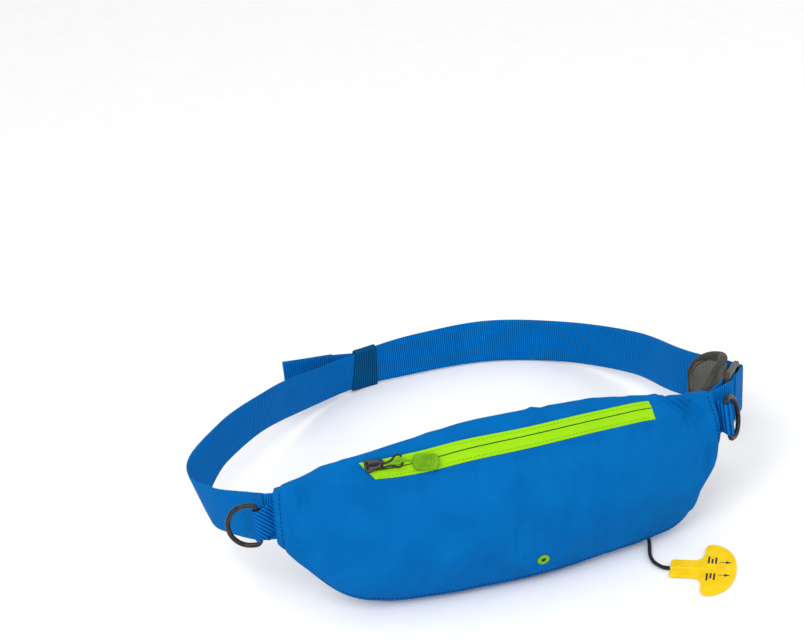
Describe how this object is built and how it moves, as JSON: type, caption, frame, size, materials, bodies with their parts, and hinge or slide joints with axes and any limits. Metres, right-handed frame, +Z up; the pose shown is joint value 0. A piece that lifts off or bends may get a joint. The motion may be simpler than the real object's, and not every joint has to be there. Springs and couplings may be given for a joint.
{
  "type": "inflatable belt pack",
  "caption": "Curved zipped waist pouch with a packed float inside, on a webbing belt with slide buckle, D-rings and a pull cord with tab.",
  "frame": {"origin": "middle of the footprint of pouch and belt on the table, without the pull cord and its tab", "axes": "+Z up, +X along the pouch to the seen right end, -Y out of the pouch's front away from the wearer"},
  "size_m": [0.4622, 0.4291, 0.1347],
  "materials": {
    "cloth": "coated woven",
    "webbing": "woven ribbed",
    "keeper": "woven elastic",
    "trim": "woven",
    "toggle": "matte",
    "metal": "satin dark coating",
    "plastic": "matte",
    "pad": "brushed foam-backed cloth",
    "float": "coated woven",
    "cord": "braided",
    "tab": "gloss"
  },
  "bodies": {
    "pack": {"pouch_front": "cloth", "pouch_back": "cloth", "packed_float": "float", "zip_tape_upper": "trim", "zip_tape_lower": "trim", "zip_teeth": "trim", "zip_slider": "plastic", "slider_bail": "metal", "pull_loop": "trim", "pull_toggle": "toggle", "eyelet": "trim", "belt_webbing": "webbing", "tail_hem": "webbing", "belt_keeper": "keeper", "left_ring_strap": "webbing", "right_ring_strap": "webbing", "anchor_strap": "webbing", "belt_buckle": "plastic", "comfort_pad": "pad", "pull_cord": "cord", "pull_tab": "tab"},
    "left_d_ring": {"left_ring": "metal"},
    "right_d_ring": {"right_ring": "metal"}
  },
  "joints": [
    {"name": "left_ring_swing", "type": "hinge", "parent": "pack", "child": "left_d_ring", "pos_m": [-0.19395, -0.12523, 0.07774], "axis": [0.026, 0.1641, 0.9861], "range_deg": [-35, 110]},
    {"name": "right_ring_swing", "type": "hinge", "parent": "pack", "child": "right_d_ring", "pos_m": [0.18821, -0.13228, 0.07991], "axis": [0.0444, 0.3557, 0.9336], "range_deg": [-110, 0]}
  ]
}
